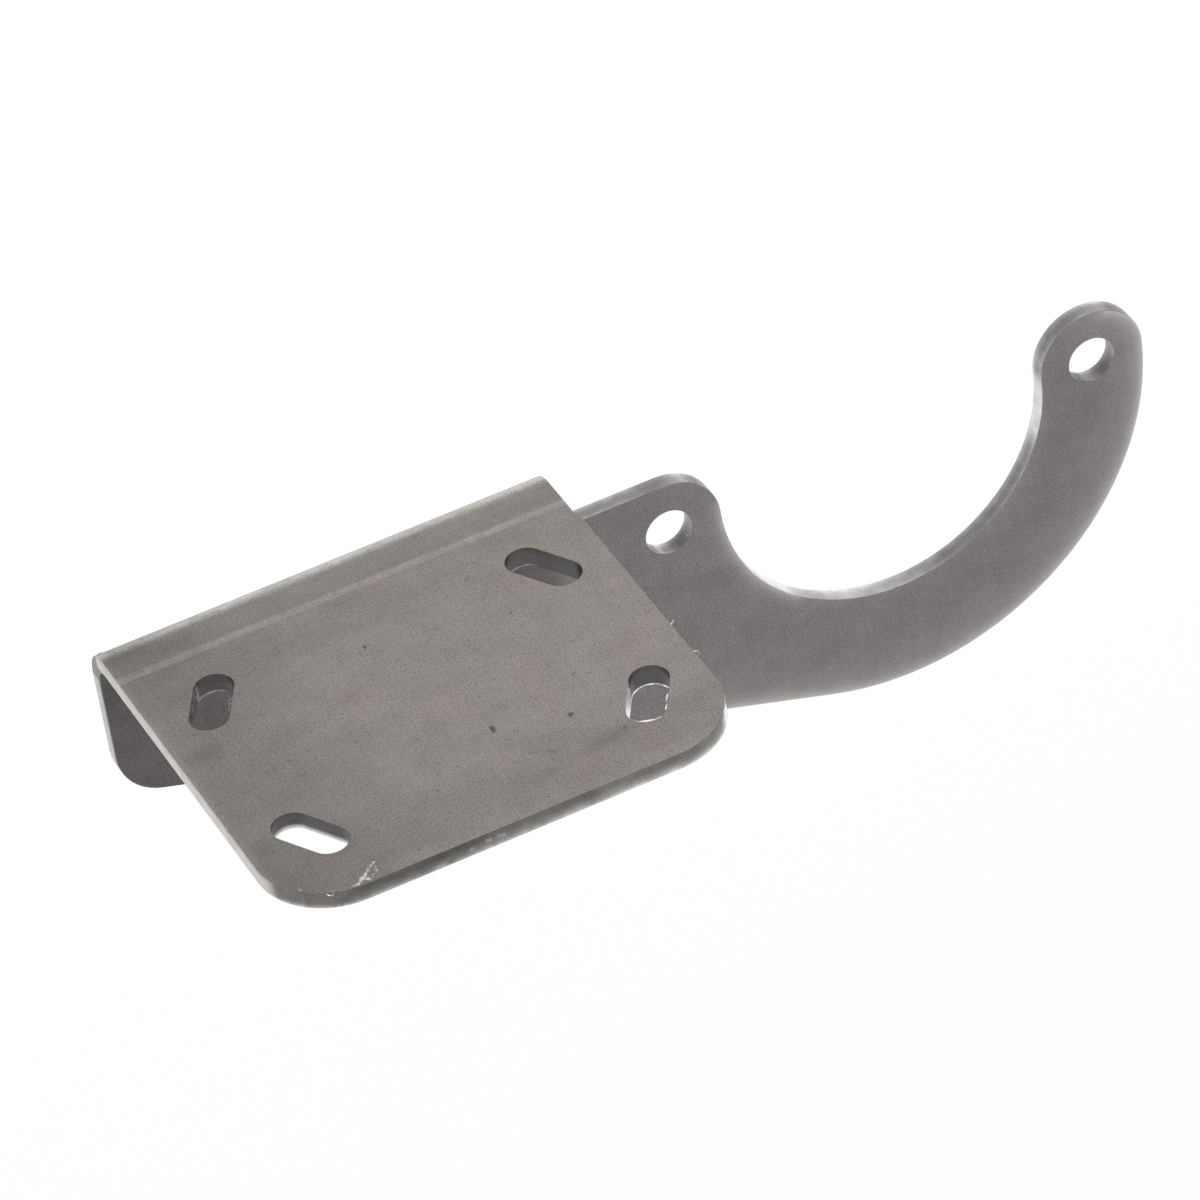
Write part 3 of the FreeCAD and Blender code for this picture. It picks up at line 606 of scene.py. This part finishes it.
# Each sliver's radius and line in millimetres: two on the plate's right edge, one at the front left
# corner, one at the left end of the fold, three specks and a thin line at the top rim of the front
# right slot, and three hairs at the top rim of the back left one.
SLIVERS = (
    (0.16, ((52.3, -7.7, -0.25), (52.9, -7.1, -0.2), (53.3, -6.8, -0.2), (53.7, -6.3, -0.25))),
    (0.20, ((52.3, -18.2, -0.25), (53.0, -18.1, -0.2), (53.5, -18.1, -0.5), (53.6, -18.2, -1.1),
            (53.3, -18.2, -1.7))),
    (0.15, ((-43.4, -43.9, -0.25), (-43.3, -44.7, -0.15), (-42.7, -45.1, -0.3), (-42.2, -44.6, -0.25))),
    (0.20, ((-52.1, 54.8, -1.5), (-51.9, 55.8, -2.1), (-51.3, 56.4, -2.4), (-50.2, 56.8, -2.8))),
    (0.45, ((41.6, -27.9, -0.5), (41.3, -28.3, -0.5), (41.1, -28.6, -0.5), (40.9, -28.8, -0.5))),
    (0.40, ((41.6, -27.9, -0.5), (41.9, -27.5, -0.5), (42.1, -27.2, -0.5), (42.3, -26.9, -0.5))),
    (0.45, ((39.5, -31.6, -0.5), (39.8, -31.1, -0.5), (40.1, -30.6, -0.5), (40.6, -29.8, -0.5))),
    (0.12, ((37.7, -33.0, -0.15), (36.1, -33.3, -0.15), (34.4, -32.9, -0.15), (32.9, -31.8, -0.15),
            (32.1, -30.2, -0.15))),
    (0.10, ((-34.3, 23.9, -0.25), (-34.9, 23.8, -0.3), (-35.3, 23.5, -0.35), (-35.5, 23.0, -0.4))),
    (0.10, ((-34.9, 22.7, -0.25), (-35.4, 22.6, -0.3), (-35.8, 22.2, -0.35), (-36.0, 21.8, -0.4))),
    (0.10, ((-35.8, 21.2, -0.25), (-36.2, 21.1, -0.3), (-36.5, 20.8, -0.35), (-36.6, 20.4, -0.4))))


# Each slot's middle and lean, and how far its burr hangs below the sheet.
SLOTS = ((-38.5, -25.0, 120, 0.1), (38.5, -25.0, 60, 1.2), (-38.5, 25.0, 60, 0.7), (38.5, 25.0, 120, 0.8))
SLOT_HALF_RUN = 4.75
SLOT_RADIUS = 4.25
BURR_THICKNESS = 0.2
BURR_ROOT = 0.1
BURR_GAP = 0.02
ROUND_STEPS = 30
RUN_STEPS = 14


def hang_burrs():
    """Ragged burrs left below the slots by the cutter, each a thin closed collar on the lower rim."""
    draw = random.Random(7)
    stations = []
    for end, start in ((SLOT_HALF_RUN, -90), (-SLOT_HALF_RUN, 90)):
        stations += [(end, start + 180 * i / ROUND_STEPS) for i in range(ROUND_STEPS + 1)]
        stations += [(end * (1 - 2 * i / RUN_STEPS), start + 180) for i in range(1, RUN_STEPS)]
    form = bmesh.new()
    for x, y, lean, height in SLOTS:
        turn = Matrix.Rotation(math.radians(lean), 3, "Z")
        drop = height
        rings = []
        for run, angle in stations:
            drop += 0.4 * (height - drop) + draw.uniform(-0.1, 0.1) * height
            out = Vector((math.cos(math.radians(angle)), math.sin(math.radians(angle)), 0.0))
            ring = []
            for reach, z in ((BURR_GAP, BURR_ROOT), (BURR_GAP, -drop),
                             (BURR_THICKNESS, -drop), (BURR_THICKNESS, BURR_ROOT)):
                place = turn @ (Vector((run, 0.0, 0.0)) + out * (SLOT_RADIUS + reach))
                ring.append(form.verts.new((place + Vector((x, y, z - SHEET))) * MM))
            rings.append(ring)
        for ring, after in zip(rings, rings[1:] + rings[:1]):
            for i, j in ((0, 1), (1, 2), (2, 3), (3, 0)):
                form.faces.new((ring[i], ring[j], after[j], after[i]))
    bmesh.ops.recalc_face_normals(form, faces=form.faces)
    mesh = bpy.data.meshes.new("slot_burrs")
    form.to_mesh(mesh)
    form.free()
    mesh.materials.append(cut_steel())
    piece = bpy.data.objects.new("slot_burrs", mesh)
    scene.collection.objects.link(piece)
    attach(piece, "root")


def raise_slivers():
    """Burrs: small torn slivers, round in section and drawn out thinner towards the tip."""
    curve = bpy.data.curves.new("edge_burrs", "CURVE")
    curve.dimensions = "3D"
    curve.bevel_depth = MM
    curve.bevel_resolution = 2
    curve.use_fill_caps = True
    for radius, places in SLIVERS:
        line = curve.splines.new("NURBS")
        line.points.add(len(places) - 1)
        line.use_endpoint_u = True
        line.order_u = 3
        for i, (point, place) in enumerate(zip(line.points, places)):
            point.co = (*(Vector(place) * MM), 1.0)
            point.radius = radius * (1.0 - 0.6 * i / (len(places) - 1))
    curve.materials.append(burr_steel())
    piece = bpy.data.objects.new("edge_burrs", curve)
    scene.collection.objects.link(piece)
    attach(piece, "root")


scene.view_settings.view_transform = "Standard"
place_camera()
light_room()
lay_floor()
fold_sheet()
hang_burrs()
raise_slivers()
